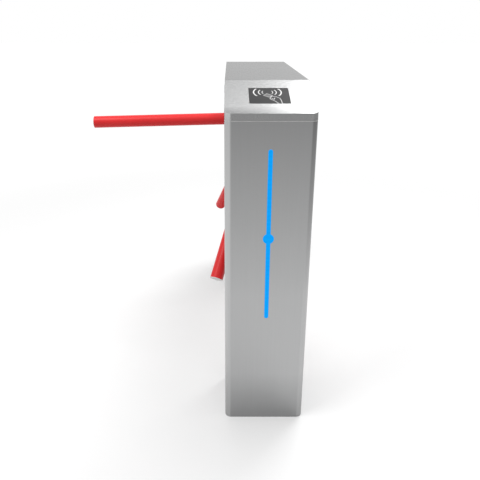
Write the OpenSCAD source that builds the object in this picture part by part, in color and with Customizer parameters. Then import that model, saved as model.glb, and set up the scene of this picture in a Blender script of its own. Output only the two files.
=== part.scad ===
// Tripod access gate: two end posts, an upper beam with a tripod head, and one long hinged lid.
// The origin is on the floor at the middle of the cabinet. +Y runs along it and +Z is up.
// The arms point to -X, the passage side.

/* [Cabinet] */
// Width of the cabinet
body_w = 235; // [225:1:260]
// Length of the cabinet along the passage
body_l = 1125; // [1115:5:1300]
// Height of the lid's low front edge above the floor
eave_h = 930; // [910:5:980]
// Rise of the lid from that edge to its flat top
lid_rise = 60; // [45:1:80]
// Run of each sloping end of the lid
slope_run = 205; // [190:1:230]
// Depth of the lid's skirt at its low ends
skirt_h = 20; // [18:1:26]
// Radius of the four upright corners
corner_r = 18; // [10:1:22]
// Thickness of the stainless sheet
sheet_t = 1.5; // [1.2:0.1:2]
// Length of each end post along the passage
post_l = 187.5; // [170:2.5:190]
// Height of the underside of the upper beam
beam_z = 720; // [710:5:730]
// Open line between the lid and the cabinet
seam_gap = 1.5; // [1:0.5:3]

/* [Tripod head] */
// Slope of the head's axis below the horizontal
head_tilt = 45; // [44:0.5:46]
// Angle between the head's axis and each arm
arm_cone = 43.5; // [43:0.5:45]
// Height of the point where the arms' axes meet
apex_h = 823; // [815:1:830]
// Distance of that point inside the passage face
apex_in = 133; // [128:1:138]
// Distance from that point out to the sloping face
face_s = 45; // [42:1:48]
// Distance from that point to an arm's tip
arm_reach = 602; // [480:1:605]
// Outer diameter of an arm
arm_d = 41; // [36:1:42]
// Wall of an arm's tube
arm_t = 2; // [1.5:0.5:3]
// Diameter of the main shaft
shaft_d = 30; // [26:1:32]

/* [Reader and light] */
// Width of the reader window
window_w = 107; // [80:1:120]
// Length of the reader window along the slope
window_l = 100; // [80:1:110]
// Distance from the lid's low edge to the window, along the slope
window_up = 57; // [45:1:65]
// Width of the light strip
strip_w = 12; // [8:1:16]
// Length of the light strip
strip_l = 490; // [400:5:520]
// Height of the strip's lower end above the floor
strip_z = 350; // [320:5:380]
// Diameter of the round dot on the strip
dot_d = 30; // [22:1:36]
// Height of the dot above the floor
dot_z = 595; // [560:5:630]

/* [Service doors] */
// Width of a service door's opening
door_w = 160; // [140:2:166]
// Height of a service door's opening
door_h = 560; // [480:5:580]
// Height of that opening above the floor
door_z = 90; // [70:5:110]

/* [Fixing] */
// Anchor hole spacing across the cabinet
anchor_x = 150; // [130:5:170]
// Anchor hole spacing along each base plate
anchor_y = 110; // [90:5:120]
// Diameter of an anchor hole
anchor_d = 14; // [10:1:16]
// Bore of a cable grommet
cable_d = 40; // [30:1:44]

/* [Hidden] */
$fn = 96;
over = 5;
fit = 0.3;
run_fit = 0.05;
half_w = body_w / 2;
half_l = body_l / 2;
mid_l = half_l - post_l;
seam_z = eave_h - skirt_h;
top_z = eave_h + lid_rise;
slope_a = atan(lid_rise / slope_run);
apex_x = apex_in - half_w;
steel = "silver";
dark = "dimgray";
red = "crimson";

// Rest frame and seal between cabinet and lid
rest_w = 14;
rest_t = 3;
seal_w = 8;
seal_in = 2;
seal_t = 3;

// Base plates
plate_t = 8;
grommet_w = 4;
grommet_t = 3;

// Mechanism, measured along the head's axis from the point where the arms meet
mech_t = 6;
mech_front = face_s - sheet_t;
mech_back = mech_front - mech_t;
mech_up = 132;
mech_down = 88;
mech_half = 185;
mech_bore_d = 58;
face_hole_d = 84;
trim_d = 172;
trim_bore_d = 80;
trim_t = 2.5;
bearing_d = 62;
bearing_t = 16;
ring_t = 5;
ball_d = 9.5;
ball_count = 9;
ball_gap = 0.1;
housing_l = 68.5;
housing_d = 78;
housing_flange_d = 120;
housing_flange_t = 10;
housing_back = mech_back - housing_l;
front_bearing_s = mech_back - bearing_t;
rear_bearing_s = housing_back;

// Rotor
flange_d = 70;
flange_t = 5.8;
flange_in = 0.8;
flange_s = face_s - flange_in;
hub_back = flange_s + flange_t;
hub_d = 150;
hub_rim_t = 8;
hub_shoulder_d = 104;
hub_shoulder_s = 35;
hub_nose_d = 76;
hub_nose_s = 50;
hub_pocket_d = 60;
hub_floor_t = 20;
cap_t = 4;
socket_d = 54;
socket_start = 62;
socket_end = 128;
arm_start = 95;
arm_screw_s = 112;
arm_screw_d = 8;
screw_head_d = 13;
screw_head_h = 8;
hub_screw_pcd = 44;
hub_screw_d = 8;
hub_screw_l = 24;
hub_screws_n = 4;
plug_lip = 1.5;
plug_round = 1;
plug_spigot_l = 22;

// Discs on the shaft behind the bearings
lock_plate_t = 4;
lock_plate_back = housing_back - lock_plate_t;
wheel_gap = 7;
wheel_t = 8;
wheel_d = 124;
wheel_front = lock_plate_back - wheel_gap;
wheel_back = wheel_front - wheel_t;
wheel_mid = (wheel_front + wheel_back) / 2;
notch_n = 6;
notch_w = 18;
notch_h = 9;
disc_t = 1.5;
disc_d = 120;
disc_gap = 5.5;
disc_front = wheel_back - disc_gap;
disc_back = disc_front - disc_t;
disc_slot_n = 6;
disc_slot_w = 4;
disc_slot_h = 8;
gear_module = 2;
gear_n = 50;
pinion_n = 20;
gear_t = 8;
gear_gap = 6;
gear_front = disc_back - gear_gap;
gear_back = gear_front - gear_t;
mesh_d = gear_module * (gear_n + pinion_n) / 2;
backlash = 0.2;
boss_d = 44;
nut_d = 46;
nut_t = 8;
collar_l = 5;
shaft_beyond = 5;
nut_back = gear_back - collar_l - nut_t;
shaft_end = nut_back - shaft_beyond;
key_w = 8;
key_h = 7;

// Pawls, solenoids and damper
pawl_t = 7.4;
pawl_pivot_x = 45;
pawl_pivot_y = 82;
pawl_bar = 14;
pawl_tooth_w = 9;
pawl_lift = 12.5;
pawl_tail = 30;
pawl_pin_d = 8;
pawl_tail_pin_d = 6;
plunger_d = 10;
plunger_fork_w = 16;
plunger_fork_t = 3;
solenoid_y = 128;
solenoid_l = 52;
solenoid_w = 30;
solenoid_t = 22;
spring_curls = 6;
spring_wire_d = 1.2;
spring_d = 14;
damper_t = 28;
damper_d = 52;
damper_plate_t = 4;
damper_gap = 2;
damper_front = gear_back - damper_gap;
pinion_shaft_d = 10;
pillar_d = 14;
damper_pillar_d = 10;

// Plan of a rounded rectangle centred on the origin
module rounded_plan(w, l, r) {
    square([w - 2 * r, l], center = true);
    square([w, l - 2 * r], center = true);
    for (x = [-1, 1], y = [-1, 1])
        translate([x * (w / 2 - r), y * (l / 2 - r)])
            circle(r = r);
}

// Plan of the whole cabinet, drawn in by a given inset
module cabinet_plan(inset) {
    rounded_plan(body_w - 2 * inset, body_l - 2 * inset, corner_r - inset);
}

// Plan of the front post: the cabinet's plan cut off at the post's inner face
module post_plan(inset) {
    intersection() {
        cabinet_plan(inset);
        translate([-half_w, -half_l])
            square([body_w, post_l - inset]);
    }
}

module rear() {
    mirror([0, 1, 0])
        children();
}

module both_ends() {
    children();
    rear()
        children();
}

// Height at which the sloping face, moved in by s, crosses a given x, and the x where it crosses z
function cut_z(x, s) = apex_h - (s + cos(head_tilt) * (x - apex_x)) / sin(head_tilt);
function cut_x(z, s) = apex_x - (s + sin(head_tilt) * (z - apex_h)) / cos(head_tilt);

// Section of the beam's hollow, drawn in by a given inset, with its top at a given height
function beam_section(inset, top) = [
    [-half_w + inset, top],
    [-half_w + inset, cut_z(-half_w + inset, face_s - inset)],
    [cut_x(beam_z + inset, face_s - inset), beam_z + inset],
    [half_w - inset, beam_z + inset],
    [half_w - inset, top]];

// A section in X and Z drawn out along Y
module along_y(l) {
    rotate([90, 0, 0])
        linear_extrude(l, center = true)
            children();
}

// A section in Y and Z drawn out along X
module along_x(l) {
    rotate([90, 0, 90])
        linear_extrude(l, center = true)
            children();
}

// The head's own frame: +Z out along its axis, +X towards the raised arm's side
module at_head() {
    translate([apex_x, 0, apex_h])
        rotate([0, -(90 + head_tilt), 0])
            children();
}

// The frame of one arm, with +Z along the arm
module at_arm(i) {
    at_head()
        rotate([0, arm_cone, i * 120])
            children();
}

// A round plate from s0 to s1 along the head's axis
module round_at(s0, s1, d) {
    translate([0, 0, s0])
        cylinder(h = s1 - s0, d = d);
}

// A ring from s0 to s1 along the head's axis
module ring_at(s0, s1, d, bore) {
    difference() {
        round_at(s0, s1, d);
        round_at(s0 - over, s1 + over, bore);
    }
}

// Strip and dot of the light, drawn on the end face
module light_outline(grow) {
    translate([0, strip_z + strip_w / 2])
        circle(d = strip_w + 2 * grow);
    translate([0, strip_z + strip_l - strip_w / 2])
        circle(d = strip_w + 2 * grow);
    translate([-strip_w / 2 - grow, strip_z + strip_w / 2])
        square([strip_w + 2 * grow, strip_l - strip_w]);
    translate([0, dot_z])
        circle(d = dot_d + 2 * grow);
}

// The light's outline drawn from the end face inwards, between two depths
module light_solid(depth0, depth1, grow) {
    translate([0, -half_l + depth1, 0])
        rotate([90, 0, 0])
            linear_extrude(depth1 - depth0)
                light_outline(grow);
}

door_flange = 12;
door_gap = 1;
passage_lip = 10;

// Front post: a folded sheet tube, open above, with a door opening towards the middle
module front_post_shell() {
    color(steel)
        difference() {
            union() {
                difference() {
                    linear_extrude(seam_z)
                        post_plan(0);
                    translate([0, 0, -over])
                        linear_extrude(seam_z + 2 * over)
                            post_plan(sheet_t);
                }
                translate([-door_w / 2 - sheet_t, -mid_l - door_flange, door_z - sheet_t])
                    cube([door_w + 2 * sheet_t, door_flange, door_h + 2 * sheet_t]);
            }
            translate([-door_w / 2, -mid_l - door_flange - over, door_z])
                cube([door_w, door_flange + 2 * over, door_h]);
            light_solid(-over, sheet_t + over, 0);
            translate([0, -mid_l, 0])
                along_y(2 * sheet_t + over)
                    polygon(beam_section(sheet_t + passage_lip, seam_z + over));
            translate([-half_w + sheet_t, -mid_l - sheet_t - over, seam_z - rest_t - fit])
                cube([body_w - 2 * sheet_t, sheet_t + 2 * over, rest_t + fit + over]);
        }
}

module rear_post_shell() {
    rear()
        front_post_shell();
}

// Upper beam: an open-topped sheet trough whose outer lower corner is cut off for the head
module beam_housing() {
    color(steel)
        difference() {
            along_y(2 * mid_l)
                polygon(beam_section(0, seam_z));
            along_y(2 * mid_l + 2 * over)
                polygon(beam_section(sheet_t, seam_z + over));
            at_head()
                round_at(mech_back, face_s + over, face_hole_d);
        }
}

lock_y = 230;
lock_rise = 40;
lock_z = seam_z + lock_rise;
cam_l = 32;
cam_w = 14;
cam_t = 2;
barrel_d = 18;
barrel_head_d = 24;
barrel_head_t = 3;
core_d = 11;
lid_barrel_l = 26;
keeper_w = 8;
keeper_t = 2;
keeper_gap = 0.5;
keeper_swing = 1.5;
cam_x = -half_w + lid_barrel_l;

// Frame welded inside the cabinet's top edge, with two hooks that the lid's lock cams turn under
module lid_rest_frame() {
    color(steel)
        translate([0, 0, seam_z - rest_t])
            linear_extrude(rest_t)
                difference() {
                    cabinet_plan(sheet_t);
                    cabinet_plan(sheet_t + rest_w);
                }
    color(steel)
        both_ends()
            lid_keeper();
}

module lid_keeper() {
    lip_z = lock_z + cam_w / 2 + keeper_gap;
    leg_y = -lock_y + cam_l + keeper_swing;
    x0 = cam_x - cam_t / 2 - keeper_w / 2;
    translate([-half_w + sheet_t + keeper_t, leg_y, seam_z - rest_t - keeper_t])
        cube([x0 + keeper_w + half_w - sheet_t - keeper_t, keeper_t, keeper_t]);
    translate([x0, leg_y, seam_z - rest_t - keeper_t])
        cube([keeper_w, keeper_t, lip_z + keeper_t - seam_z + rest_t + keeper_t]);
    translate([x0, leg_y - cam_l / 2, lip_z])
        cube([keeper_w, cam_l / 2 + keeper_t, keeper_t]);
}

// Soft seal that lies on the rest frame, with a thin lip that fills the seam under the lid
module lid_seal() {
    color("whitesmoke")
        translate([0, 0, seam_z]) {
            linear_extrude(seal_t)
                difference() {
                    cabinet_plan(sheet_t + seal_in);
                    cabinet_plan(sheet_t + seal_in + seal_w);
                }
            linear_extrude(seam_gap - fit)
                difference() {
                    cabinet_plan(fit);
                    cabinet_plan(sheet_t + seal_in + seal_w / 2);
                }
        }
}

// Base plate of the front post, with four anchor holes and one cable way
module base_plate() {
    difference() {
        linear_extrude(plate_t)
            post_plan(sheet_t);
        translate([0, -half_l + post_l / 2, -over])
            for (x = [-1, 1], y = [-1, 1])
                translate([x * anchor_x / 2, y * anchor_y / 2, 0])
                    cylinder(h = plate_t + 2 * over, d = anchor_d);
        translate([0, -half_l + post_l / 2, -over])
            cylinder(h = plate_t + 2 * over, d = cable_d + 2 * grommet_w);
    }
}

module base_plates() {
    color("gray")
        both_ends()
            base_plate();
}

// Rubber grommets that line the cable ways of the base plates
module cable_grommets() {
    color(dark)
        both_ends()
            translate([0, -half_l + post_l / 2, 0])
                difference() {
                    union() {
                        cylinder(h = plate_t, d = cable_d + 2 * grommet_w);
                        translate([0, 0, plate_t])
                            cylinder(h = grommet_t, d = cable_d + 4 * grommet_w);
                    }
                    translate([0, 0, -over])
                        cylinder(h = plate_t + grommet_t + 2 * over, d = cable_d);
                }
}

// Side view of the lid, drawn in by a given inset, down to a given height
function lid_profile(inset, low) =
    let (drop = inset / cos(slope_a), back = inset * tan(slope_a / 2))
    [[-half_l, low],
    [-half_l, eave_h - drop],
    [-half_l + slope_run + back, top_z - inset],
    [half_l - slope_run - back, top_z - inset],
    [half_l, eave_h - drop],
    [half_l, low]];

lid_low = seam_z + seam_gap;
lid_frame_low = seam_z + seal_t + fit;
lid_frame_t = 2;

// Frame of the front slope: origin on the lid's low edge, +Y up the slope, +Z out of it
module at_slope() {
    translate([0, -half_l, eave_h])
        rotate([slope_a, 0, 0])
            children();
}

module window_block(grow, depth0, depth1) {
    at_slope()
        translate([-window_w / 2 - grow, window_up - grow, -depth1])
            cube([window_w + 2 * grow, window_l + 2 * grow, depth1 - depth0]);
}

// Lid: a folded shell with sloping ends, a stiffening frame inside its lower edge and two windows
module lid() {
    color(steel)
        difference() {
            union() {
                difference() {
                    intersection() {
                        translate([0, 0, lid_low])
                            linear_extrude(top_z)
                                cabinet_plan(0);
                        along_x(body_w + over)
                            polygon(lid_profile(0, lid_low));
                    }
                    intersection() {
                        translate([0, 0, seam_z - over])
                            linear_extrude(top_z)
                                cabinet_plan(sheet_t);
                        along_x(body_w)
                            polygon(lid_profile(sheet_t, seam_z - over));
                    }
                }
                translate([0, 0, lid_frame_low])
                    linear_extrude(lid_frame_t)
                        difference() {
                            cabinet_plan(sheet_t / 2);
                            cabinet_plan(sheet_t + rest_w - seal_in);
                        }
            }
            both_ends()
                window_block(0, -over, sheet_t + over);
            both_ends()
                translate([-half_w, -lock_y, lock_z])
                    rotate([0, 90, 0])
                        cylinder(h = 4 * over, d = barrel_d + fit, center = true);
        }
}

stiffener_w = 40;
stiffener_h = 16;
stiffener_at_shares = [-0.75, -0.25, 0.25, 0.75];

// Channels spot-welded across the underside of the lid's flat top
module lid_stiffeners() {
    color(steel)
        for (share = stiffener_at_shares)
            translate([0, share * (half_l - slope_run), top_z - sheet_t - stiffener_h])
                difference() {
                    translate([-half_w + sheet_t, -stiffener_w / 2, 0])
                        cube([body_w - 2 * sheet_t, stiffener_w, stiffener_h]);
                    translate([-half_w, -stiffener_w / 2 + sheet_t, sheet_t])
                        cube([body_w, stiffener_w - 2 * sheet_t, stiffener_h]);
                }
}

leaf_t = 2;
leaf_w = 25;
knuckle_d = 10;
pin_d = 5;
hinge_l = 60;
knuckle_gap = 0.4;
leaf_back = 6;
lid_hinge_share = [-0.7, 0, 0.7];
door_hinge_share = [0.15, 0.85];
hinge_y = -mid_l + knuckle_d / 2;
hinge_x = door_w / 2 + knuckle_d;

// Hinge pin axis along Z; the plate that carries it lies half a knuckle below, at y = -knuckle_d / 2
module knuckle(z0, z1) {
    difference() {
        translate([0, 0, z0])
            cylinder(h = z1 - z0, d = knuckle_d);
        translate([0, 0, z0 - over])
            cylinder(h = z1 - z0 + 2 * over, d = pin_d + 2 * run_fit);
    }
}

module neck(side, z0, z1) {
    difference() {
        translate([min(0, side * (leaf_back + leaf_t)), -knuckle_d / 2, z0])
            cube([leaf_back + leaf_t, leaf_t, z1 - z0]);
        translate([0, 0, z0 - over])
            cylinder(h = z1 - z0 + 2 * over, d = pin_d + 2 * run_fit);
    }
}

// Moving leaf: one middle knuckle and a plate on the -X side
module moving_leaf() {
    z1 = hinge_l / 6 - knuckle_gap / 2;
    knuckle(-z1, z1);
    neck(-1, -z1, z1);
    translate([-leaf_w - leaf_back, -knuckle_d / 2, -hinge_l / 2])
        cube([leaf_w, leaf_t, hinge_l]);
}

// Fixed leaf: two outer knuckles and a plate on the +X side
module fixed_leaf() {
    z0 = hinge_l / 6 + knuckle_gap / 2;
    for (side = [0, 1])
        mirror([0, 0, side]) {
            knuckle(z0, hinge_l / 2);
            neck(1, z0, hinge_l / 2);
        }
    translate([leaf_back, -knuckle_d / 2, -hinge_l / 2])
        cube([leaf_w, leaf_t, hinge_l]);
}

module at_door_hinges() {
    for (share = door_hinge_share)
        translate([hinge_x, hinge_y, door_z + share * door_h])
            children();
}

module at_lid_hinges() {
    for (share = lid_hinge_share)
        translate([half_w + knuckle_d / 2, share * (half_l - slope_run), seam_z + seam_gap / 2])
            rotate([90, 90, 0])
                children();
}

module fixed_hinge_leaves() {
    color(steel) {
        both_ends()
            at_door_hinges()
                fixed_leaf();
        at_lid_hinges()
            fixed_leaf();
    }
}

module lid_hinge_leaves() {
    color(steel)
        at_lid_hinges()
            moving_leaf();
}

module hinge_pins() {
    color("lightgray") {
        both_ends()
            at_door_hinges()
                hinge_pin();
        at_lid_hinges()
            hinge_pin();
    }
}

module hinge_pin() {
    cylinder(h = hinge_l, d = pin_d, center = true);
    for (side = [0, 1])
        mirror([0, 0, side])
            translate([0, 0, hinge_l / 2])
                cylinder(h = leaf_t, d = knuckle_d);
}

// Lock barrel drawn along Z with its head outwards, at +Z
module lock_barrel(l) {
    difference() {
        union() {
            translate([0, 0, -l + cam_t + fit])
                cylinder(h = l - cam_t - fit, d = barrel_d);
            cylinder(h = barrel_head_t, d = barrel_head_d);
        }
        translate([0, 0, -l - over])
            cylinder(h = l + barrel_head_t + 2 * over, d = core_d + 2 * run_fit);
    }
}

// Lock core with its cam, drawn along Z, with the cam pointing to +Y
module lock_core(l) {
    difference() {
        translate([0, 0, -l])
            cylinder(h = l + barrel_head_t - fit, d = core_d);
        translate([0, 0, barrel_head_t])
            cube([key_slot_w, key_slot_l, key_slot_l], center = true);
    }
    translate([0, 0, -l])
        linear_extrude(cam_t) {
            circle(d = cam_w);
            translate([-cam_w / 2, 0])
                square([cam_w, cam_l]);
        }
}

key_slot_w = 1.4;
key_slot_l = 7;

module lid_lock_barrels() {
    color("lightgray")
        both_ends()
            at_lid_lock()
                lock_barrel(lid_barrel_l);
}

// Lock place on the lid's passage side, with +Z out to the passage and +Y up
module at_lid_lock() {
    translate([-half_w, -lock_y, lock_z])
        rotate([90, 0, -90])
            children();
}

module front_lid_lock_cam() {
    color("lightgray")
        at_lid_lock()
            rotate([0, 0, 180])
                lock_core(lid_barrel_l);
}

module rear_lid_lock_cam() {
    rear()
        front_lid_lock_cam();
}

door_lock_in = 18;
door_lock_x = -door_w / 2 + door_lock_in;
door_lock_z = door_z + door_h / 2;
door_barrel_beyond = 4;
door_barrel_l = door_flange + door_barrel_beyond;

// Lock place on the front door, with +Z out to the middle of the gate and +Y up
module at_door_lock() {
    translate([door_lock_x, -mid_l, door_lock_z])
        rotate([90, 0, 180])
            children();
}

// Service door: a folded pan that fills the post's opening
module front_door() {
    w = door_w - 2 * door_gap;
    h = door_h - 2 * door_gap;
    color(steel)
        difference() {
            translate([-w / 2, -mid_l - door_flange, door_z + door_gap])
                cube([w, door_flange, h]);
            translate([-w / 2 + sheet_t, -mid_l - door_flange - over, door_z + door_gap + sheet_t])
                cube([w - 2 * sheet_t, door_flange - sheet_t + over, h - 2 * sheet_t]);
            at_door_lock()
                cylinder(h = 2 * over, d = barrel_d + fit, center = true);
        }
}

module rear_door() {
    rear()
        front_door();
}

// Hinge leaves and lock barrel fixed to the door
module front_door_hardware() {
    color("lightgray") {
        at_door_hinges()
            moving_leaf();
        at_door_lock()
            lock_barrel(door_barrel_l);
    }
}

module rear_door_hardware() {
    rear()
        front_door_hardware();
}

module front_door_lock_cam() {
    color("lightgray")
        at_door_lock()
            lock_core(door_barrel_l);
}

module rear_door_lock_cam() {
    rear()
        front_door_lock_cam();
}

window_t = 3;
case_wall = 2;
case_depth = 24;
case_lip = 6;

// Dark acrylic windows, flush in the lid's slopes
module reader_windows() {
    color(dark)
        both_ends()
            window_block(-window_gap, 0, window_t);
}

window_gap = 0.2;

// Reader cases screwed to the underside of the slopes, round the windows
module reader_cases() {
    color([0.15, 0.15, 0.15])
        both_ends()
            difference() {
                window_block(case_lip, sheet_t, case_depth);
                window_block(0, 0, window_t + window_gap);
                window_block(-case_wall, window_t, case_depth - case_wall);
            }
}

channel_t = 1.5;
channel_h = 10;
diffuser_flange = 4;
board_t = 1.6;
chip_w = 5;
chip_t = 1.4;
chip_pitch = 20;
diffuser_depth = 3;

// Blue diffusers: the strip and dot flush with the end face, on a flange behind the sheet
module light_diffusers() {
    color("deepskyblue")
        both_ends() {
            light_solid(0, sheet_t, -window_gap);
            light_solid(sheet_t, diffuser_depth, diffuser_flange);
        }
}

channel_w = dot_d + 2 * diffuser_flange + 2 * channel_t;
channel_z = strip_z - diffuser_flange - 2 * channel_t;
channel_l = strip_l + 2 * diffuser_flange + 4 * channel_t;

// Channels that hold the light boards behind the diffusers
module light_channels() {
    color("lightgray")
        both_ends()
            difference() {
                translate([-channel_w / 2, -half_l + sheet_t, channel_z])
                    cube([channel_w, channel_h + diffuser_depth, channel_l]);
                translate([-channel_w / 2 + channel_t, -half_l, channel_z + channel_t])
                    cube([channel_w - 2 * channel_t, channel_h + diffuser_depth + sheet_t - channel_t,
                        channel_l - 2 * channel_t]);
            }
}

// Boards with one row of light chips
module light_boards() {
    board_y = -half_l + channel_h + diffuser_depth + sheet_t - channel_t - board_t;
    color("white")
        both_ends() {
            translate([-strip_w / 2, board_y, strip_z])
                cube([strip_w, board_t, strip_l]);
            for (z = [strip_z + chip_pitch / 2 : chip_pitch : strip_z + strip_l - chip_pitch / 2])
                translate([-chip_w / 2, board_y - chip_t, z - chip_w / 2])
                    cube([chip_w, chip_t, chip_w]);
        }
}

// Sloping plate behind the cabinet's sloping face, which carries the whole mechanism
module mechanism_plate() {
    color("gray")
        at_head()
            difference() {
                translate([-mech_down, -mech_half, mech_back])
                    cube([mech_down + mech_up, 2 * mech_half, mech_t]);
                round_at(mech_back - over, mech_front + over, mech_bore_d);
            }
}

// Trim ring round the hole in the sloping face
module head_trim_ring() {
    color("lightgray")
        at_head()
            difference() {
                ring_at(face_s, face_s + trim_t, trim_d, trim_bore_d);
                for (i = [0 : trim_screws_n - 1])
                    rotate([0, 0, i * 360 / trim_screws_n])
                        translate([trim_d / 2 - trim_screw_in, 0, 0])
                            round_at(face_s + trim_t / 2, face_s + trim_t + over, trim_screw_d);
            }
}

trim_screws_n = 6;
trim_screw_d = 7;
trim_screw_in = 8;

// Cast housing of the two bearings, with its flange on the mechanism plate
module bearing_housing() {
    seat_d = bearing_d + 2 * run_fit;
    color("slategray")
        at_head()
            difference() {
                union() {
                    round_at(housing_back, mech_back, housing_d);
                    round_at(mech_back - housing_flange_t, mech_back, housing_flange_d);
                }
                round_at(housing_back - over, mech_back + over, bearing_d - 2 * ring_t);
                round_at(front_bearing_s, mech_back + over, seat_d);
                round_at(housing_back - over, rear_bearing_s + bearing_t, seat_d);
            }
}

// Calls its children at the middle of each bearing
module at_bearings() {
    for (s = [front_bearing_s, rear_bearing_s])
        translate([0, 0, s + bearing_t / 2])
            children();
}

ball_pitch_d = (bearing_d + shaft_d) / 2;

// Groove that the balls run in
module ball_groove() {
    rotate_extrude()
        translate([ball_pitch_d / 2, 0])
            circle(d = ball_d + 2 * ball_gap);
}

module bearing_outer_rings() {
    color("lightgray")
        at_head()
            at_bearings()
                difference() {
                    ring_at(-bearing_t / 2, bearing_t / 2, bearing_d, bearing_d - 2 * ring_t);
                    ball_groove();
                }
}

module bearing_inner_rings() {
    color("lightgray")
        at_head()
            at_bearings()
                difference() {
                    ring_at(-bearing_t / 2, bearing_t / 2, shaft_d + 2 * ring_t, shaft_d + run_fit);
                    ball_groove();
                }
}

cage_t = 2.4;
cage_w = 12;

// Balls in their cages
module bearing_balls() {
    color("silver")
        at_head()
            at_bearings() {
                for (i = [0 : ball_count - 1])
                    rotate([0, 0, i * 360 / ball_count])
                        translate([ball_pitch_d / 2, 0, 0])
                            sphere(d = ball_d);
                difference() {
                    ring_at(-cage_w / 2, cage_w / 2, ball_pitch_d + cage_t, ball_pitch_d - cage_t);
                    for (i = [0 : ball_count - 1])
                        rotate([0, 90, i * 360 / ball_count])
                            cylinder(h = ball_pitch_d, d = ball_d + 2 * ball_gap);
                }
            }
}

key_sunk = key_h / 2;

// The key's slot, from the shaft's inside out past its surface
module key_slot(grow, s0, s1) {
    translate([shaft_d / 2 - key_sunk - grow, -key_w / 2 - grow, s0])
        cube([key_h + 2 * grow, key_w + 2 * grow, s1 - s0]);
}

// Places of the screws that join the hub to the shaft's flange
module at_hub_screws() {
    for (i = [0 : hub_screws_n - 1])
        rotate([0, 0, (i + 1 / 2) * 360 / hub_screws_n])
            translate([hub_screw_pcd / 2, 0, 0])
                children();
}

// Main shaft with its front flange
module main_shaft() {
    color("silver")
        at_head()
            difference() {
                union() {
                    round_at(shaft_end, hub_back, shaft_d);
                    round_at(mech_back, flange_s, shaft_d + 2 * ring_t);
                    round_at(flange_s, hub_back, flange_d);
                }
                key_slot(0, gear_back, wheel_front);
                at_hub_screws()
                    round_at(flange_s - over, hub_back + over, hub_screw_d);
            }
}

// Cast hub with three sockets for the arms and a pocket for its screws
module hub() {
    nose = hub_back + hub_nose_s;
    floor_s = hub_back + hub_floor_t;
    color("silver")
        difference() {
            union() {
                at_head()
                    rotate_extrude()
                        polygon([[0, hub_back], [hub_d / 2, hub_back], [hub_d / 2, hub_back + hub_rim_t],
                            [hub_shoulder_d / 2, hub_back + hub_shoulder_s], [hub_nose_d / 2, nose],
                            [0, nose]]);
                for (i = [0 : 2])
                    at_arm(i)
                        round_at(socket_start, socket_end, socket_d);
            }
            at_head() {
                translate([-arm_reach, -arm_reach, hub_back - arm_reach])
                    cube([2 * arm_reach, 2 * arm_reach, arm_reach]);
                round_at(floor_s, nose + over, hub_pocket_d);
                at_hub_screws()
                    round_at(hub_back - over, floor_s + over, hub_screw_d + 2 * run_fit);
            }
            for (i = [0 : 2])
                at_arm(i) {
                    round_at(arm_start, socket_end + over, arm_d + 2 * run_fit);
                    at_arm_screw() {
                        cylinder(h = socket_d, d = arm_screw_d + 2 * run_fit);
                        translate([0, 0, screw_seat])
                            cylinder(h = socket_d, d = screw_head_d + 2 * fit);
                    }
                }
        }
}

seat_depth = 0.3;
screw_seat = socket_d / 2 - seat_depth;

// Frame of an arm's cross screw: origin on the arm's axis, +Z out through the socket's front
module at_arm_screw() {
    translate([0, 0, arm_screw_s])
        rotate([0, -90, 0])
            children();
}

// Shallow cap that closes the hub's pocket
module hub_cap() {
    nose = hub_back + hub_nose_s;
    color("lightgray")
        at_head()
            rotate_extrude()
                polygon([[0, nose - cap_t], [hub_pocket_d / 2 - fit, nose - cap_t],
                    [hub_pocket_d / 2 - fit, nose], [hub_nose_d / 2, nose],
                    [hub_nose_d / 2, nose + cap_t / 2], [hub_pocket_d / 2, nose + cap_t],
                    [0, nose + cap_t]]);
}

// One arm: a coated steel tube, open at its outer end for the plug
module arm(i) {
    color(red)
        at_arm(i)
            difference() {
                ring_at(arm_start, arm_reach - plug_lip, arm_d, arm_d - 2 * arm_t);
                at_arm_screw()
                    cylinder(h = arm_d, d = arm_screw_d + 2 * run_fit);
            }
}

module arm_1() {
    arm(0);
}

module arm_2() {
    arm(1);
}

module arm_3() {
    arm(2);
}

// End plugs: a thin lip with a rounded edge over the tube's end and a spigot inside the tube
module arm_end_plugs() {
    lip_s = arm_reach - plug_lip;
    color("white")
        for (i = [0 : 2])
            at_arm(i) {
                round_at(lip_s, arm_reach - plug_round, arm_d);
                round_at(arm_reach - plug_round, arm_reach, arm_d - 2 * plug_round);
                intersection() {
                    rotate_extrude()
                        translate([arm_d / 2 - plug_round, arm_reach - plug_round])
                            circle(r = plug_round);
                    round_at(lip_s, arm_reach, arm_d + over);
                }
                round_at(lip_s - plug_spigot_l, lip_s, arm_d - 2 * arm_t - fit);
            }
}

hex_share = 0.6;

// Socket-head screw drawn along Z: the head above z = 0, the shank below
module cap_screw(d, l, head_d, head_h) {
    translate([0, 0, -l])
        cylinder(h = l, d = d);
    difference() {
        cylinder(h = head_h, d = head_d);
        translate([0, 0, head_h / 2])
            cylinder(h = head_h, d = head_d * hex_share, $fn = 6);
    }
}

// Screws that hold the hub on the shaft, and one cross screw in each arm
module hub_screws() {
    arm_screw_l = screw_seat - arm_d / 2 + 2 * arm_t;
    color("gray") {
        at_head()
            at_hub_screws()
                translate([0, 0, hub_back + hub_floor_t])
                    cap_screw(hub_screw_d, hub_screw_l, screw_head_d, screw_head_h);
        for (i = [0 : 2])
            at_arm(i)
                at_arm_screw()
                    translate([0, 0, screw_seat])
                        cap_screw(arm_screw_d, arm_screw_l, screw_head_d, screw_head_h);
    }
}

// Bore and key slot of a disc on the shaft
module shaft_cut(s0, s1) {
    round_at(s0 - over, s1 + over, shaft_d + run_fit);
    key_slot(run_fit, s0 - over, s1 + over);
}

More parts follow.
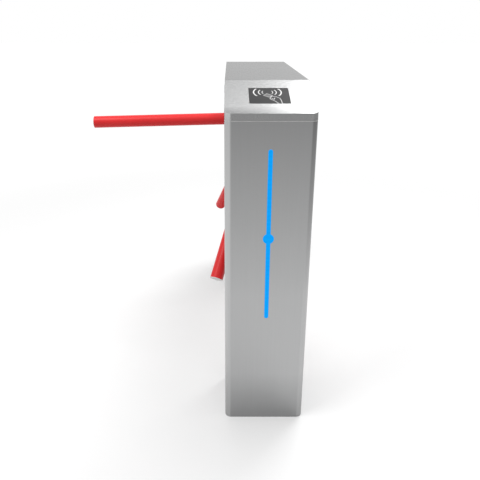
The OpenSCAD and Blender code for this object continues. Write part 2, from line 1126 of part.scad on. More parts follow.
// Lock wheel, with a notch every sixty degrees
module lock_wheel() {
    color("gray")
        at_head()
            difference() {
                round_at(wheel_back, wheel_front, wheel_d);
                shaft_cut(wheel_back, wheel_front);
                for (i = [0 : notch_n - 1])
                    rotate([0, 0, (i + 1 / 2) * 360 / notch_n])
                        translate([wheel_d / 2 - notch_h, -notch_w / 2, wheel_back - over])
                            cube([notch_h + over, notch_w, wheel_t + 2 * over]);
            }
}

// Thin slotted disc that the position sensors read
module index_disc() {
    color("lightgray")
        at_head()
            difference() {
                round_at(disc_back, disc_front, disc_d);
                shaft_cut(disc_back, disc_front);
                for (i = [0 : disc_slot_n - 1])
                    rotate([0, 0, i * 360 / disc_slot_n])
                        translate([disc_d / 2 - disc_slot_h, -disc_slot_w / 2, disc_back - over])
                            cube([disc_slot_h + over, disc_slot_w, disc_t + 2 * over]);
            }
}

pressure_a = 20;
root_share = 1.25;
flank_shares = [0, 0.35, 0.7, 1];

// Involute tooth: half its angle at a radius r on a gear of n teeth
function inv_angle(a) = tan(a) * 180 / PI - a;
function tooth_half(n, r) =
    let (rp = gear_module * n / 2, rb = rp * cos(pressure_a))
    (PI * gear_module / 2 - backlash) / (2 * rp) * 180 / PI + inv_angle(pressure_a)
        - inv_angle(acos(min(1, rb / r)));
function gear_points(n) =
    let (rp = gear_module * n / 2, r0 = rp - root_share * gear_module, r1 = rp + gear_module)
    [for (i = [0 : n - 1], side = [-1, 1], k = [0 : len(flank_shares) - 1])
        let (share = flank_shares[side < 0 ? k : len(flank_shares) - 1 - k],
            r = r0 + share * (r1 - r0),
            a = i * 360 / n + side * tooth_half(n, r))
        r * [cos(a), sin(a)]];

// Gear on the shaft that turns the damper
module drive_gear() {
    color("gray")
        at_head()
            difference() {
                translate([0, 0, gear_back])
                    linear_extrude(gear_t)
                        polygon(gear_points(gear_n));
                shaft_cut(gear_back, gear_front);
            }
}

// Place of the damper's axis, beside the shaft
module at_damper() {
    at_head()
        translate([0, -mesh_d, 0])
            children();
}

pinion_shaft_l = 20;

// Pinion and shaft of the damper
module damper_pinion() {
    color("silver")
        at_damper() {
            translate([0, 0, gear_back])
                linear_extrude(gear_t)
                    polygon(gear_points(pinion_n));
            round_at(damper_front - damper_plate_t - pinion_shaft_l, gear_back, pinion_shaft_d);
        }
}

// Plain rings, key and nut that hold the discs and bearings apart on the shaft
module shaft_spacers() {
    color("silver")
        at_head() {
            difference() {
                union() {
                    round_at(rear_bearing_s + bearing_t, front_bearing_s, shaft_d + 2 * ring_t);
                    round_at(wheel_front, rear_bearing_s, boss_d - 2 * fit);
                    round_at(disc_front, wheel_back, boss_d);
                    round_at(gear_front, disc_back, boss_d);
                    round_at(gear_back - collar_l, gear_back, boss_d);
                }
                round_at(shaft_end - over, front_bearing_s + over, shaft_d + run_fit);
                key_slot(run_fit, gear_back, wheel_front);
            }
            difference() {
                translate([0, 0, nut_back])
                    cylinder(h = nut_t, d = nut_d, $fn = 6);
                round_at(nut_back - over, nut_back + nut_t + over, shaft_d + run_fit);
            }
            key_slot(0, gear_back + fit, wheel_front - fit);
        }
}

lock_up = 98;
lock_down = 78;
lock_half = 190;
pillar_down = 60;
pillar_up = 85;
pillar_y = 75;
damper_pillar_down = 45;
damper_pillar_up = 30;
damper_pillar_near = 75;
damper_pillar_far = 118;
damper_pillars = [
    [-damper_pillar_down, -damper_pillar_near],
    [-damper_pillar_down, -damper_pillar_far],
    [damper_pillar_up, -damper_pillar_far]];
boss_play = 5;

// Plate behind the bearing housing that carries the pawls, solenoids and sensors
module lock_plate() {
    color("gray")
        at_head()
            difference() {
                translate([-lock_down, -lock_half, lock_plate_back])
                    cube([lock_up + lock_down, 2 * lock_half, lock_plate_t]);
                round_at(lock_plate_back - over, housing_back + over, boss_d + boss_play);
                for (side = [-1, 1])
                    translate([pawl_pivot_x, side * pawl_pivot_y, 0])
                        round_at(lock_plate_back - over, housing_back + over, pawl_pin_d + run_fit);
            }
}

// Pillars between the mechanism plate and the lock plate, and from there to the damper plate
module plate_pillars() {
    color("silver")
        at_head() {
            for (x = [-pillar_down, pillar_up], side = [-1, 1])
                translate([x, side * pillar_y, 0])
                    round_at(housing_back, mech_back, pillar_d);
            for (p = damper_pillars)
                translate([p[0], p[1], 0])
                    round_at(damper_front, lock_plate_back, damper_pillar_d);
        }
}

pawl_back = wheel_mid - pawl_t / 2;
tooth_play = 1.5;
pawl_reach = pawl_pivot_y - wheel_d / 2 + notch_h - tooth_play;

// Outline of a pawl in its locked place, with the pivot at the origin and the tooth down
module pawl_outline() {
    circle(d = 2 * pawl_bar);
    translate([-pawl_pivot_x, -pawl_bar / 2])
        square([pawl_pivot_x + pawl_tail, pawl_bar]);
    translate([pawl_tail, 0])
        circle(d = pawl_bar);
    translate([-pawl_pivot_x - pawl_tooth_w / 2, -pawl_reach])
        square([pawl_tooth_w, pawl_reach + pawl_bar / 2]);
}

fork_gap = 0.6;

// Pawl with its tail pin, drawn released: lifted clear of the lock wheel
module entry_pawl() {
    fork_reach = pawl_t + 2 * (fork_gap + plunger_fork_t);
    color("gray")
        at_head()
            translate([pawl_pivot_x, pawl_pivot_y, 0])
                rotate([0, 0, -pawl_lift]) {
                    difference() {
                        translate([0, 0, pawl_back])
                            linear_extrude(pawl_t)
                                pawl_outline();
                        round_at(pawl_back - over, pawl_back + pawl_t + over, pawl_pin_d + 2 * run_fit);
                    }
                    translate([pawl_tail, 0, wheel_mid])
                        cylinder(h = fork_reach, d = pawl_tail_pin_d, center = true);
                }
}

module exit_pawl() {
    rear()
        entry_pawl();
}

pin_collar_d = 14;
clip_t = 2;

// Pivot pins of the pawls, riveted into the lock plate, each with a collar and a clip
module pawl_pins() {
    color("silver")
        at_head()
            for (side = [-1, 1])
                translate([pawl_pivot_x, side * pawl_pivot_y, 0]) {
                    round_at(pawl_back - fit - clip_t, housing_back, pawl_pin_d);
                    round_at(pawl_back + pawl_t + fit, lock_plate_back, pin_collar_d);
                    round_at(pawl_back - fit - clip_t, pawl_back - fit, pin_collar_d);
                }
}

plunger_x = pawl_pivot_x + pawl_tail;
fork_y = pawl_pivot_y - pawl_tail * sin(pawl_lift);
yoke_t = 5;
yoke_y = fork_y + pawl_bar / 2 + 2 * fork_gap + plunger_fork_w / 2 * sin(pawl_lift);
yoke_h = pawl_t + 2 * (fork_gap + plunger_fork_t);
plunger_in = 32;
slot_play = 1.5;

// Frame at the plunger's axis, with +Z along +Y and the origin beside the shaft
module at_plunger() {
    at_head()
        translate([plunger_x, 0, wheel_mid])
            rotate([-90, 0, 0])
                children();
}

// Plunger with a fork that holds the pawl's tail pin
module entry_plunger() {
    color("silver")
        at_plunger()
            difference() {
                union() {
                    translate([-plunger_fork_w / 2, -yoke_h / 2, fork_y - plunger_fork_w / 2])
                        cube([plunger_fork_w, yoke_h, yoke_y + yoke_t - fork_y + plunger_fork_w / 2]);
                    translate([0, 0, yoke_y])
                        cylinder(h = solenoid_y + plunger_in - yoke_y, d = plunger_d);
                }
                translate([-plunger_fork_w, -pawl_t / 2 - fork_gap, fork_y - plunger_fork_w])
                    cube([2 * plunger_fork_w, pawl_t + 2 * fork_gap, yoke_y - fork_y + plunger_fork_w]);
                translate([-plunger_fork_w / 2 + slot_play, -yoke_h, fork_y - pawl_tail_pin_d / 2 - fit])
                    cube([plunger_fork_w - 2 * slot_play, 2 * yoke_h, pawl_tail_pin_d + 2 * fit]);
            }
}

module exit_plunger() {
    rear()
        entry_plunger();
}

coil_wall = 4;
coil_end = 6;
coil_d = 16;

// Solenoids: an open frame round a coil, bolted to the lock plate
module solenoids() {
    color("darkgray")
        both_ends()
            at_plunger()
                difference() {
                    union() {
                        translate([-solenoid_w / 2, -solenoid_t / 2, solenoid_y])
                            cube([solenoid_w, solenoid_t, coil_wall]);
                        translate([-solenoid_w / 2, -solenoid_t / 2, solenoid_y + solenoid_l - coil_wall])
                            cube([solenoid_w, solenoid_t, coil_wall]);
                        translate([-solenoid_w / 2, -solenoid_t / 2, solenoid_y])
                            cube([solenoid_w, coil_wall / 2, solenoid_l]);
                        translate([0, 0, solenoid_y])
                            cylinder(h = solenoid_l, d = coil_d);
                    }
                    translate([0, 0, solenoid_y - over])
                        cylinder(h = solenoid_l - coil_end + over, d = plunger_d + 2 * fit);
                }
}

// Points of one ring of the spring's wire, and the whole coil as one tube
spring_rings = 8;
spring_sides = 6;
function spring_centre(k, l) =
    let (a = 360 * k / spring_rings)
    [spring_d / 2 * cos(a), spring_d / 2 * sin(a), l * k / (spring_curls * spring_rings)];
function spring_ring(k, l) =
    let (a = 360 * k / spring_rings, c = spring_centre(k, l))
    [for (j = [0 : spring_sides - 1])
        let (b = 360 * j / spring_sides, w = spring_wire_d / 2)
        c + [w * cos(b) * cos(a), w * cos(b) * sin(a), w * sin(b)]];

module coil_spring(l) {
    rings = spring_curls * spring_rings;
    points = [for (k = [0 : rings]) each spring_ring(k, l)];
    m = spring_sides;
    walls = [for (k = [0 : rings - 1], j = [0 : m - 1], half = [0, 1])
        let (p = k * m + j, q = k * m + (j + 1) % m)
        half == 0 ? [p, p + m, q + m] : [p, q + m, q]];
    ends = [for (j = [1 : m - 2], last = [0, 1])
        last == 0 ? [0, j, j + 1] : [rings * m, rings * m + j + 1, rings * m + j]];
    polyhedron(points = points, faces = concat(walls, ends));
}

// Return springs round the plungers, between the fork and the solenoid
module return_springs() {
    s0 = yoke_y + yoke_t + fit + spring_wire_d / 2;
    s1 = solenoid_y - fit - spring_wire_d / 2;
    color("silver")
        both_ends()
            at_plunger()
                translate([0, 0, s0])
                    coil_spring(s1 - s0);
}

echo(spring_least_gap = (solenoid_y - yoke_y - yoke_t - 2 * fit - spring_wire_d) / spring_curls
    - spring_wire_d);

damper_edge = 10;

// Plate that holds the damper, on its own pillars
module damper_plate() {
    x0 = min([for (p = damper_pillars) p[0]]) - damper_edge;
    x1 = max([for (p = damper_pillars) p[0]]) + damper_edge;
    y0 = min([for (p = damper_pillars) p[1]]) - damper_edge;
    y1 = -mesh_d + damper_d / 2;
    color("gray")
        at_head()
            difference() {
                translate([x0, y0, damper_front - damper_plate_t])
                    cube([x1 - x0, y1 - y0, damper_plate_t]);
                translate([0, -mesh_d, 0])
                    round_at(damper_front - damper_plate_t - over, damper_front + over,
                        pinion_shaft_d + 2 * fit);
            }
}

// Rotary damper: a sealed drum of thick oil that slows the arms
module damper() {
    color("darkgray")
        at_damper()
            difference() {
                round_at(damper_front - damper_plate_t - damper_t, damper_front - damper_plate_t, damper_d);
                round_at(damper_front - damper_plate_t - pinion_shaft_l - fit, damper_front,
                    pinion_shaft_d + 2 * run_fit);
            }
}

sensor_in = 54;
sensor_out = 76;
sensor_w = 12;
sensor_arm = 2.5;
sensor_gap = 1.3;
sensor_angles = [160, 200];

// Light-gate sensors that straddle the index disc's rim
module position_sensors() {
    back = disc_back - sensor_gap - sensor_arm;
    front = disc_front + sensor_gap;
    color([0.1, 0.1, 0.1])
        at_head()
            for (a = sensor_angles)
                rotate([0, 0, a]) {
                    translate([wheel_d / 2 + sensor_arm, -sensor_w / 2, back])
                        cube([sensor_out - wheel_d / 2 - sensor_arm, sensor_w, lock_plate_back - back]);
                    translate([sensor_in, -sensor_w / 2, back])
                        cube([sensor_out - sensor_in, sensor_w, sensor_arm]);
                    translate([sensor_in, -sensor_w / 2, front])
                        cube([sensor_out - sensor_in, sensor_w, sensor_arm]);
                }
}

controller_t = 42;
controller_y = 225;
controller_l = 130;
controller_z = 740;
controller_h = 120;
controller_lip = 8;

// Controller box on the beam's inner wall
module controller() {
    x1 = half_w - sheet_t;
    color([0.2, 0.22, 0.25]) {
        translate([x1 - controller_t, controller_y, controller_z])
            cube([controller_t, controller_l, controller_h]);
        translate([x1 - leaf_t, controller_y - controller_lip, controller_z + controller_lip])
            cube([leaf_t, controller_l + 2 * controller_lip, controller_h - 2 * controller_lip]);
    }
}

supply_t = 44;
supply_l = 120;
supply_h = 160;
supply_z = 300;
supply_vents = 8;
supply_vent_w = 4;

// Vented power supply on the rear post's side wall
module power_supply() {
    x0 = -half_w + sheet_t;
    y0 = half_l - post_l / 2 - supply_l / 2;
    pitch = supply_h / (supply_vents + 1);
    color("silver")
        difference() {
            translate([x0, y0, supply_z])
                cube([supply_t, supply_l, supply_h]);
            for (i = [1 : supply_vents])
                translate([x0 + supply_t - sheet_t, y0 + supply_l / 6, supply_z + i * pitch])
                    cube([2 * sheet_t, supply_l * 2 / 3, supply_vent_w]);
        }
}

rail_w = 35;
rail_t = 7.5;
rail_l = 140;
rail_z = 320;
block_n = 10;
block_w = 8;
block_h = 44;
block_t = 30;

// Mounting rail with a row of wiring blocks on the front post's side wall
module terminal_rail() {
    x0 = -half_w + sheet_t;
    y0 = -half_l + post_l / 2;
    color("silver")
        difference() {
            translate([x0, y0 - rail_l / 2, rail_z - rail_w / 2])
                cube([rail_t, rail_l, rail_w]);
            translate([x0 + sheet_t, y0 - rail_l / 2 - over, rail_z - rail_w / 2 + rail_t])
                cube([rail_t, rail_l + 2 * over, rail_w - 2 * rail_t]);
        }
    color("beige")
        for (i = [0 : block_n - 1])
            translate([x0 + rail_t, y0 + (i - block_n / 2) * (block_w + fit), rail_z - block_h / 2])
                cube([block_t, block_w, block_h]);
}

front_post_shell();
rear_post_shell();
beam_housing();
lid_rest_frame();
lid_seal();
base_plates();
cable_grommets();
lid();
lid_stiffeners();
fixed_hinge_leaves();
lid_hinge_leaves();
hinge_pins();
lid_lock_barrels();
front_lid_lock_cam();
rear_lid_lock_cam();
front_door();
rear_door();
front_door_hardware();
rear_door_hardware();
front_door_lock_cam();
rear_door_lock_cam();
reader_windows();
reader_cases();
light_diffusers();
light_channels();
light_boards();
mechanism_plate();
head_trim_ring();
bearing_housing();
bearing_outer_rings();
bearing_balls();
bearing_inner_rings();
main_shaft();
hub();
hub_cap();
arm_1();
arm_2();
arm_3();
arm_end_plugs();
hub_screws();
lock_wheel();
index_disc();
drive_gear();
shaft_spacers();
lock_plate();
plate_pillars();
entry_pawl();
exit_pawl();
pawl_pins();
solenoids();
return_springs();
entry_plunger();
exit_plunger();
damper();
damper_plate();
damper_pinion();
position_sensors();
controller();
power_supply();
terminal_rail();
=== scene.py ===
"""Looks of a waist-high tripod access gate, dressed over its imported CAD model."""

import math

import bpy
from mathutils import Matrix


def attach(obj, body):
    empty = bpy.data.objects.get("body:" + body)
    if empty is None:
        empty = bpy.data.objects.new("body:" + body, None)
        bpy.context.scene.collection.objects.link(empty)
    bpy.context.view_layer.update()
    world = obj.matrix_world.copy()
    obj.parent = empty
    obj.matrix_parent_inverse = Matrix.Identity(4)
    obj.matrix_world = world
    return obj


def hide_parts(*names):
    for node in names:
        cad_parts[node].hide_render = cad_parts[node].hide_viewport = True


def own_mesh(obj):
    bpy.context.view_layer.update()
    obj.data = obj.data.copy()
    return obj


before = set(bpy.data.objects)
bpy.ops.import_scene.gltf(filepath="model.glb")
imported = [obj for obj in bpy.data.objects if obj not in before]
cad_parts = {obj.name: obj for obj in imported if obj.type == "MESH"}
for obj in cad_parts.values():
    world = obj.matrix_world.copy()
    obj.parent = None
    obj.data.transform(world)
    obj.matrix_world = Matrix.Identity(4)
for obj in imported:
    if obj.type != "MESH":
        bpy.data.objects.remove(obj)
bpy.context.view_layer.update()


# The viewpoint: someone who walks up to the gate's front end and looks a little down at
# it, a hand's width to the passage side.
EYE, TILT_UP = (-0.1023, -1.8295, 1.1387), math.radians(69.816)
LENS, SENSOR_WIDTH = 38.505, 36
SHIFT_X, SHIFT_Y = 0.02044, -0.05885
bpy.ops.object.camera_add(location=EYE, rotation=(TILT_UP, 0, 0))
camera = bpy.context.object
camera.data.lens = LENS
camera.data.sensor_width = SENSOR_WIDTH
camera.data.shift_x = SHIFT_X
camera.data.shift_y = SHIFT_Y
bpy.context.scene.camera = camera
bpy.context.scene.view_settings.view_transform = "Standard"


# The two end posts are folded from 1.5 mm stainless sheet and ground with a belt that ran up and
# down them. The grain catches light in fine upright lines. Near the floor the sheet is rougher,
# where it is mopped and kicked, and its colour is darker there: a painted reflection of the
# floor's shadow. Higher up, its colour carries a painted reflection that changes with height and
# with the way each face looks.
class Signal:
    """One shader socket. Python's operators on it add Math nodes."""

    def __init__(self, graph, socket):
        self.graph = graph
        self.socket = socket

    def maths(self, operation, *others, clamp=False):
        settings = {"operation": operation, "use_clamp": clamp}
        return self.graph.node("ShaderNodeMath", settings, dict(enumerate((self, *others))))

    def __add__(self, other):
        return self.maths("ADD", other)

    def __sub__(self, other):
        return self.maths("SUBTRACT", other)

    def __rsub__(self, other):
        return self * -1 + other

    def __mul__(self, other):
        return self.maths("MULTIPLY", other)

    def __lt__(self, other):
        return self.maths("LESS_THAN", other)

    def __gt__(self, other):
        return self.maths("GREATER_THAN", other)

    def __abs__(self):
        return self.maths("ABSOLUTE")

    __radd__ = __add__
    __rmul__ = __mul__

    def fade(self, start, end):
        """0 at start and 1 at end, with a straight run between."""
        return (self - start).maths("MULTIPLY", 1 / (end - start), clamp=True)


class Graph:
    """The node tree of a material or of the world."""

    def __init__(self, owner):
        owner.use_nodes = True
        self.tree = owner.node_tree

    def node(self, kind, settings, sockets, out=0):
        """Adds a node and gives one of its outputs."""
        made = self.tree.nodes.new(kind)
        for name, value in settings.items():
            setattr(made, name, value)
        for name, value in sockets.items():
            if isinstance(value, Signal):
                self.tree.links.new(value.socket, made.inputs[name])
            else:
                made.inputs[name].default_value = value
        return Signal(self, made.outputs[out])


# The numbers of the Mix node's sockets for colours.
MIX_SHARE, MIX_LOW, MIX_HIGH, MIX_RESULT = 0, 6, 7, 2


class Finish(Graph):
    """One material: its shader, and the nodes that feed it. Stretches are grains to the
    metre, and depths are in metres."""

    def __init__(self, name, **settings):
        self.material = bpy.data.materials.new(name)
        super().__init__(self.material)
        self.shader = self.tree.nodes["Principled BSDF"]
        for socket, value in settings.items():
            self.shader.inputs[socket.replace("_", " ")].default_value = value
        self.place = self.node("ShaderNodeTexCoord", {}, {}, "Object")
        self.facing = self.node("ShaderNodeTexCoord", {}, {}, "Normal")

    def axes(self, vector=None):
        """The x, y and z of a place on the piece, or of another vector."""
        split = {"Vector": vector or self.place}
        return [self.node("ShaderNodeSeparateXYZ", {}, split, axis) for axis in "XYZ"]

    def grain(self, stretch, detail, vector=None):
        """Noise from 0 to 1, with its own stretch along each axis."""
        spread = {"Vector": vector or self.place, "Scale": stretch}
        noise = {"Vector": self.node("ShaderNodeMapping", {}, spread), "Scale": 1.0}
        return self.node("ShaderNodeTexNoise", {}, {**noise, "Detail": detail})

    def tint(self, share, low, high):
        """A colour between low, where share is 0, and high, where it is 1."""
        low, high = [side if isinstance(side, Signal) else (*side, 1) for side in (low, high)]
        sides = {MIX_SHARE: share, MIX_LOW: low, MIX_HIGH: high}
        return self.node("ShaderNodeMix", {"data_type": "RGBA"}, sides, MIX_RESULT)

    def feed(self, **signals):
        for socket, signal in signals.items():
            self.tree.links.new(signal.socket, self.shader.inputs[socket.replace("_", " ")])
        return self

    def relief(self, height, depth):
        bump = {"Height": height, "Distance": depth}
        return self.feed(Normal=self.node("ShaderNodeBump", {}, bump))

    def dress(self, *nodes):
        """Puts the finish on CAD nodes."""
        for node in nodes:
            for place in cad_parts[node].material_slots:
                place.material = self.material


# Brush lines to the metre, how many of them go into one broad streak, and how squarely a face
# looks sideways or along the gate before it takes the painted reflection of a side or of an end.
LINES_ACROSS, LINES_ALONG = 1500.0, 9.0
LINES_PER_STREAK = 9
SIDE_FACING, END_FACING = 0.3, (0.985, 0.9995)


def brushed_steel(name, along, ends_painted_reflection, passage_painted_reflection, far_painted_reflection, rough=0.3):
    """Belt-ground stainless sheet. along is the axis that the belt ran on. The other three are
    painted reflection: how light the colour is painted on the gate's end faces, its passage side
    and its far side, as (height, share) pairs from the top down."""
    steel = Finish(name, Metallic=1.0)
    fine = [LINES_ALONG if axis == along else LINES_ACROSS for axis in "XYZ"]
    lines = steel.grain(fine, 3.0)
    broad = steel.grain([count / LINES_PER_STREAK + 2 for count in fine], 1.0)
    hands = steel.grain((5.0, 5.0, 5.0), 2.0)
    z = steel.axes()[2]
    facing_x, facing_y = steel.axes(steel.facing)[:2]

    def painted_reflection_by_height(painted_levels):
        """The painted reflection level at each height, with straight runs between the pairs."""
        (height, share), *lower = painted_levels
        level = share
        for next_height, next_share in lower:
            level = level + z.fade(height, next_height) * (next_share - share)
            height, share = next_height, next_share
        return level

    # Painted reflection: the colour is lighter or darker by height and by the way each face
    # looks, standing in for what the sheet reflects.
    far = facing_x.fade(-SIDE_FACING, SIDE_FACING)
    sides = painted_reflection_by_height(passage_painted_reflection) * (1 - far) + painted_reflection_by_height(far_painted_reflection) * far
    end = abs(facing_y).fade(*END_FACING)
    level = sides * (1 - end) + painted_reflection_by_height(ends_painted_reflection) * end
    level = level * (0.93 + lines * 0.08 + broad * 0.03 + hands * 0.03)
    steel.feed(Base_Color=steel.tint(level, (0.0, 0.0, 0.0), (1.0, 1.005, 1.01)))
    steel.feed(Roughness=rough - 0.06 + lines * 0.09 + hands * 0.05 + z.fade(0.25, 0.0) * 0.08)
    return steel.relief(lines * 0.7 + broad * 0.3, 0.00005)


# Painted reflection of the posts, as (height, share) pairs: darker at the top, lighter lower down
# and darker again at the floor. The far side is darkest at the top.
POST_ENDS_PAINTED_REFLECTION = (
    (0.91, 0.245), (0.75, 0.31), (0.58, 0.38), (0.42, 0.43), (0.16, 0.43), (0.02, 0.3)
)
POST_PASSAGE_PAINTED_REFLECTION = ((0.91, 0.44), (0.66, 0.49), (0.2, 0.49), (0.02, 0.39))
POST_FAR_PAINTED_REFLECTION = ((0.91, 0.155), (0.7, 0.265), (0.42, 0.45), (0.16, 0.44), (0.02, 0.33))
post_steel = brushed_steel("upright_brushed_steel", "Z", POST_ENDS_PAINTED_REFLECTION, POST_PASSAGE_PAINTED_REFLECTION, POST_FAR_PAINTED_REFLECTION)
post_steel.dress("front_post_shell", "rear_post_shell")


# The beam box and the frame that the lid rests on are the same sheet. They are ground along their
# length, so their lines run from post to post. Their colour is a little darker towards the top,
# as painted reflection.
BEAM_PAINTED_REFLECTION = ((0.91, 0.4), (0.72, 0.45))
beam_steel = brushed_steel("lengthwise_brushed_steel", "Y", BEAM_PAINTED_REFLECTION, BEAM_PAINTED_REFLECTION, BEAM_PAINTED_REFLECTION)
beam_steel.dress("beam_housing", "lid_rest_frame")


# Base plates: zinc-plated steel, welded inside the posts. Zinc grows a dull, cloudy
# skin with crystals a few millimetres across.
ZINC_CRYSTALS = 260.0


def zinc(name, tone=(0.5, 0.51, 0.52)):
    coat = Finish(name, Metallic=0.85)
    cells = {"Vector": coat.place, "Scale": ZINC_CRYSTALS}
    shade = coat.axes(coat.node("ShaderNodeTexVoronoi", {}, cells, "Color"))[0]
    cloud = coat.grain((25.0, 25.0, 25.0), 4.0)
    dull, bright = [[level * share for level in tone] for share in (0.78, 1.1)]
    coat.feed(Base_Color=coat.tint(shade * 0.5 + cloud * 0.5, dull, bright))
    coat.feed(Roughness=0.38 + cloud * 0.2 + shade * 0.06)
    return coat.relief(cloud * 0.6 + shade * 0.4, 0.00005)


zinc("zinc_plate").dress(
    "base_plates", "mechanism_plate", "lock_plate", "damper_plate", "terminal_rail",
    "lid_stiffeners",
)


# Cable grommets and the lid's seal: soft rubber with the fine matt skin of a moulding.
# The grommets are black. The seal is silicone, coloured pale as a painted highlight, so that its
# thin lip shows as a light line in the seam under the lid.
def rubber(name, clean, dusty):
    skin = Finish(name)
    pores = skin.grain((1400.0, 1400.0, 1400.0), 3.0)
    dust = skin.grain((40.0, 40.0, 40.0), 4.0)
    skin.feed(Base_Color=skin.tint(dust.fade(0.4, 0.75), clean, dusty))
    skin.feed(Roughness=0.62 + dust * 0.25)
    return skin.relief(pores, 0.00008)


rubber("black_rubber", (0.018, 0.018, 0.019), (0.06, 0.058, 0.055)).dress("cable_grommets")
rubber("pale_seal_painted_highlight", (0.76, 0.76, 0.75), (0.64, 0.64, 0.62)).dress("lid_seal")


# Light strip and its round lamp: a milky bar lit blue from behind by a row of small
# lamps, which show as a faint brighter bead every 12 millimetres.
LAMP_PITCH = 0.0123
glow = Finish("blue_diffuser", Specular_IOR_Level=0.08, Emission_Strength=1.0)
beads = (glow.axes()[2] * (2 * math.pi / LAMP_PITCH)).maths("SINE") * 0.5 + 0.5
haze = glow.grain((90.0, 90.0, 90.0), 2.0)
lit = beads * 0.35 + haze * 0.65
glow.feed(Base_Color=glow.tint(haze, (0.0, 0.02, 0.05), (0.0, 0.03, 0.07)))
glow.feed(Emission_Color=glow.tint(lit, (0.0, 0.31, 0.88), (0.001, 0.37, 0.98)))
glow.feed(Roughness=0.45 + haze * 0.2)
glow.dress("light_diffusers")


# The channels behind the strips are folded aluminium, and the power supply's case and
# the index disc are the same metal with its mill finish: short soft streaks.
mill = Finish("mill_aluminium", Metallic=1.0)
streaks = mill.grain((500.0, 60.0, 60.0), 3.0)
spots = mill.grain((55.0, 55.0, 55.0), 3.0)
uneven = streaks * 0.6 + spots * 0.4
mill.feed(Base_Color=mill.tint(uneven, (0.5084, 0.5084, 0.5084), (0.62, 0.6262, 0.6386)))
mill.feed(Roughness=0.3 + spots * 0.18 + streaks * 0.08)
mill.relief(streaks, 0.00004)
mill.dress("light_channels", "power_supply", "index_disc")


# Light boards: strips of white circuit board with one row of light chips, laid into the
# channels. Copper tracks run across them under the solder mask.
TRACK_WAVES, TRACK_LEVEL = 5200, 0.55
board = Finish("white_board", Coat_Weight=0.2)
tracks = (board.axes()[2] * TRACK_WAVES).maths("SINE") > TRACK_LEVEL
stains = board.grain((120.0, 120.0, 120.0), 3.0)
uneven = tracks * 0.35 + stains * 0.2
board.feed(Base_Color=board.tint(uneven, (0.72, 0.72, 0.69), (0.5, 0.5, 0.45)))
board.feed(Roughness=0.35 + stains * 0.15)
board.relief(tracks, 0.00003)
board.dress("light_boards")


# Trim ring of the head and the hub's cap: turned from stainless bar, so their lines run
# round the head's sloping axis.
HEAD_PLACE, HEAD_SLOPE = (0.0155, 0.0, 0.823), math.radians(45)
TOOL_MARKS = 2600


def turned_steel(name, tone, rough=0.22):
    """Machined steel with rings round the head's axis."""
    metal = Finish(name, Metallic=1.0)
    from_head = {0: metal.place, 1: HEAD_PLACE}
    moved = metal.node("ShaderNodeVectorMath", {"operation": "SUBTRACT"}, from_head)
    square = {"Vector": moved, "Rotation": (0.0, -HEAD_SLOPE, 0.0)}
    across, beside, along = metal.axes(metal.node("ShaderNodeMapping", {}, square))
    radius = (across * across + beside * beside).maths("SQRT")
    marks = {0: radius * TOOL_MARKS, 1: along * TOOL_MARKS}
    rings = metal.grain((1.0, 1.0, 1.0), 1.0, metal.node("ShaderNodeCombineXYZ", {}, marks))
    oil = metal.grain((60.0, 60.0, 60.0), 3.0)
    dark, light = [tone * 0.84] * 3, [tone * 1.08, tone * 1.08, tone * 1.1]
    metal.feed(Base_Color=metal.tint(rings * 0.6 + oil * 0.4, dark, light))
    metal.feed(Roughness=rough + rings * 0.1 + oil * 0.08)
    return metal.relief(rings, 0.00004)


turned_steel("turned_stainless", 0.55).dress("head_trim_ring", "hub_cap")


# Screws of the trim ring: six button heads with hexagon sockets, which sit in the pockets
# of its face. They are turned from bright bar and left plain.
SCREW_CIRCLE, POCKET_FLOOR = 0.078, 0.04625
SCREW_R, SCREW_H, SOCKET_R, SCREWS = 0.0032, 0.0017, 0.0017, 6
SCREW_SIDES, SOCKET_SIDES, EDGE_SHARE = 32, 6, 0.35


def settle():
    """Puts the active piece's place, turn and scale into its mesh, and its faces
    outwards."""
    bpy.ops.object.transform_apply(location=True, rotation=True, scale=True)
    bpy.ops.object.mode_set(mode="EDIT")
    bpy.ops.mesh.select_all(action="SELECT")
    bpy.ops.mesh.normals_make_consistent(inside=False)
    bpy.ops.object.mode_set(mode="OBJECT")


bpy.ops.object.select_all(action="DESELECT")
socket_at = (SCREW_CIRCLE, 0, POCKET_FLOOR + SCREW_H)
bpy.ops.mesh.primitive_cylinder_add(
    vertices=SOCKET_SIDES, radius=SOCKET_R, depth=SCREW_H, location=socket_at
)
hexagon = bpy.context.object
bpy.ops.object.select_all(action="DESELECT")
screw_at = (SCREW_CIRCLE, 0, POCKET_FLOOR + SCREW_H / 2)
bpy.ops.mesh.primitive_cylinder_add(
    vertices=SCREW_SIDES, radius=SCREW_R, depth=SCREW_H, location=screw_at
)
screws = bpy.context.object
screws.name = "trim_screws"
bpy.ops.object.mode_set(mode="EDIT")
bpy.ops.mesh.select_mode(type="FACE")
bpy.ops.mesh.select_all(action="DESELECT")
bpy.ops.object.mode_set(mode="OBJECT")
for face in screws.data.polygons:
    face.select = face.normal.z > 0.9
bpy.ops.object.mode_set(mode="EDIT")
bpy.ops.mesh.region_to_loop()
bpy.ops.mesh.bevel(offset=SCREW_R * EDGE_SHARE, segments=4)
bpy.ops.object.mode_set(mode="OBJECT")
drive = screws.modifiers.new("drive", "BOOLEAN")
drive.operation = "DIFFERENCE"
drive.object = hexagon
bpy.ops.object.modifier_apply(modifier="drive")
bpy.data.objects.remove(hexagon)
bpy.ops.object.shade_smooth_by_angle(angle=math.radians(32))
bpy.ops.object.transform_apply(location=True)
copies = [screws]
for turn in range(1, SCREWS):
    bpy.ops.object.select_all(action="DESELECT")
    screws.select_set(True)
    bpy.context.view_layer.objects.active = screws
    bpy.ops.object.duplicate(linked=False)
    bpy.context.object.rotation_euler = (0, 0, turn * 2 * math.pi / SCREWS)
    bpy.ops.object.transform_apply(rotation=True)
    copies.append(bpy.context.object)
